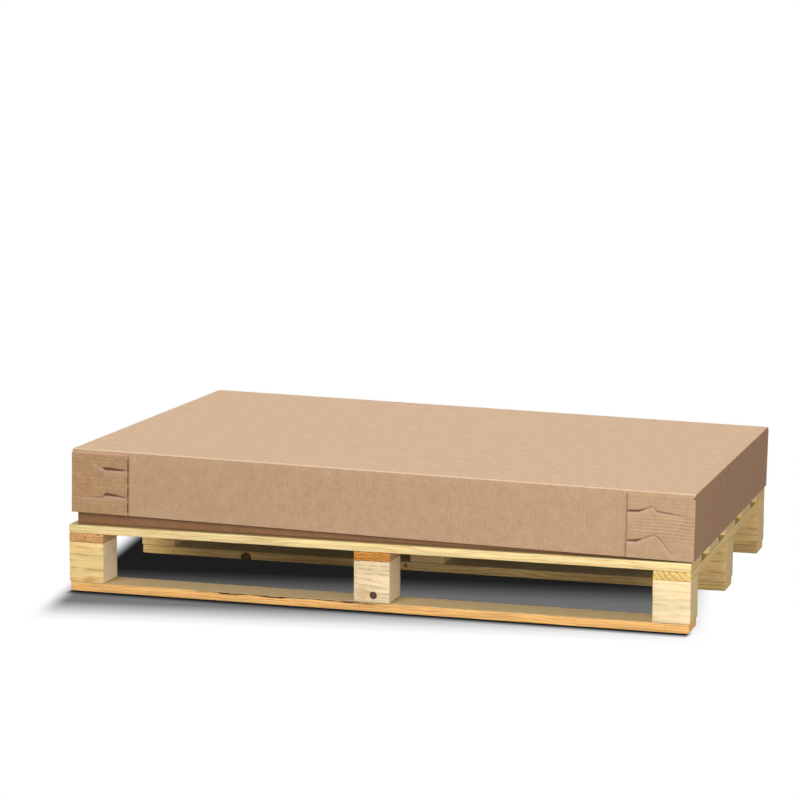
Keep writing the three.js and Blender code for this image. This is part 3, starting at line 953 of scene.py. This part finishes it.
def soft_shadow(tree):
    """The white floor's colour, with a painted soft shadow under the pallet and in front of it,
    and a painted dark contact shadow where the front skid meets the floor."""
    place = add(tree, "ShaderNodeTexCoord").outputs["Object"]
    turned = add(tree, "ShaderNodeMapping", {"Vector": place, "Rotation": (0, 0, math.radians(SHADOW_TURN))})
    split = add(tree, "ShaderNodeSeparateXYZ", {0: turned.outputs[0]})
    x, y = split.outputs["X"], split.outputs["Y"]
    forward = add(tree, "ShaderNodeMapRange",
                  {"Value": y, "From Min": SHADOW_FADES[0], "From Max": SHADOW_FADES[1]})
    fade = add(tree, "ShaderNodeValToRGB", {"Fac": forward.outputs[0]}, SHADOW_SHADES)
    inside = within(tree, [(x, *SHADOW_LEFT), (x, *SHADOW_RIGHT), (y, *SHADOW_BACK)], blend="SMOOTHSTEP")
    shadowed = add(tree, "ShaderNodeMix", {"Factor": inside, "A": grey(1), "B": fade.outputs[0]},
                   data_type="RGBA")
    straight = add(tree, "ShaderNodeSeparateXYZ", {0: place})
    y = straight.outputs["Y"]
    either_end = add(tree, "ShaderNodeMath", {0: straight.outputs["X"]}, operation="ABSOLUTE")
    contact_shadow = within(tree, [(y, *CONTACT_FRONT), (y, *CONTACT_BACK), (either_end.outputs[0], *CONTACT_ENDS)])
    contact_shaded = add(tree, "ShaderNodeMix",
                {"Factor": contact_shadow, "A": shadowed.outputs["Result"], "B": linear("#1C1E22")}, data_type="RGBA")
    return contact_shaded.outputs["Result"]


def build_floor():
    """A white paper sweep that lights the object as grey paper would. To the camera it shows white
    with a painted shadow, and from below the camera looks through it."""
    nothing_selected()
    bpy.ops.mesh.primitive_plane_add(size=FLOOR_SIZE, location=(0, 0, -FLOOR_DROP))
    floor = bpy.context.object
    floor.name = "floor"
    material, tree, shader = new_material("white paper sweep", roughness=0.9, gloss=0)
    shader.inputs["Base Color"].default_value = linear("#7C7A76")
    paper = add(tree, "ShaderNodeEmission", {"Color": soft_shadow(tree)})
    mixed = add(tree, "ShaderNodeMixShader",
                {0: seen_directly(tree), 1: shader.outputs[0], 2: paper.outputs[0]})
    underside = add(tree, "ShaderNodeNewGeometry").outputs["Backfacing"]
    camera_ray = add(tree, "ShaderNodeLightPath").outputs["Is Camera Ray"]
    below = add(tree, "ShaderNodeMath", {0: camera_ray, 1: underside}, operation="MULTIPLY")
    clear = add(tree, "ShaderNodeBsdfTransparent")
    through = add(tree, "ShaderNodeMixShader",
                  {0: below.outputs[0], 1: mixed.outputs[0], 2: clear.outputs[0]})
    tree.links.new(through.outputs[0], tree.nodes["Material Output"].inputs["Surface"])
    floor.data.materials.append(material)


def build_world():
    """White where the camera sees it, and a weak even light on the object."""
    world = bpy.data.worlds.new("studio")
    world.use_nodes = True
    bpy.context.scene.world = world
    tree = world.node_tree
    strength = add(tree, "ShaderNodeMapRange",
                   {"Value": seen_directly(tree), "To Min": WORLD_LIGHT, "To Max": 1})
    background = tree.nodes["Background"]
    background.inputs["Color"].default_value = grey(1)
    tree.links.new(strength.outputs[0], background.inputs["Strength"])


def hang_lamp(name, light, away):
    """Puts a light in the scene, turned so that it shines from that direction."""
    lamp = bpy.data.objects.new(name, light)
    lamp.rotation_euler = away.to_track_quat("Z", "Y").to_euler()
    bpy.context.scene.collection.objects.link(lamp)
    return lamp


def build_lamps():
    """A key from the front left, a fill from the right, a high light from behind, and a low
    panel in front."""
    for name, away, power, spread, tint in SUNS:
        light = bpy.data.lights.new(name, "SUN")
        light.energy = power
        light.color = linear(tint)[:3]
        light.angle = math.radians(spread)
        hang_lamp(name, light, Vector(away))
    panel = bpy.data.lights.new("low_front", "AREA")
    panel.shape = "SQUARE"
    panel.size = PANEL_SIZE
    panel.energy = PANEL_POWER
    lamp = hang_lamp("low_front", panel, Vector(PANEL_PLACE) - Vector(PANEL_AIM))
    lamp.location = PANEL_PLACE


def build_camera():
    data = bpy.data.cameras.new("photo view")
    data.lens = CAMERA_LENS
    data.sensor_width = SENSOR
    camera = bpy.data.objects.new("photo view", data)
    turn, dip, roll = (math.radians(a) for a in (CAMERA_TURN, CAMERA_DIP, CAMERA_ROLL))
    camera.matrix_world = (Matrix.Translation(CAMERA_PLACE) @ Matrix.Rotation(turn, 4, "Z")
                           @ Matrix.Rotation(math.pi / 2 - dip, 4, "X") @ Matrix.Rotation(roll, 4, "Z"))
    bpy.context.scene.collection.objects.link(camera)
    bpy.context.scene.camera = camera
    bpy.context.scene.view_settings.view_transform = "Standard"


build_camera()
build_floor()
build_world()
build_lamps()
build_pallet()
build_nails()
build_tray()
build_sleeve()
build_lid()

bpy.context.view_layer.update()
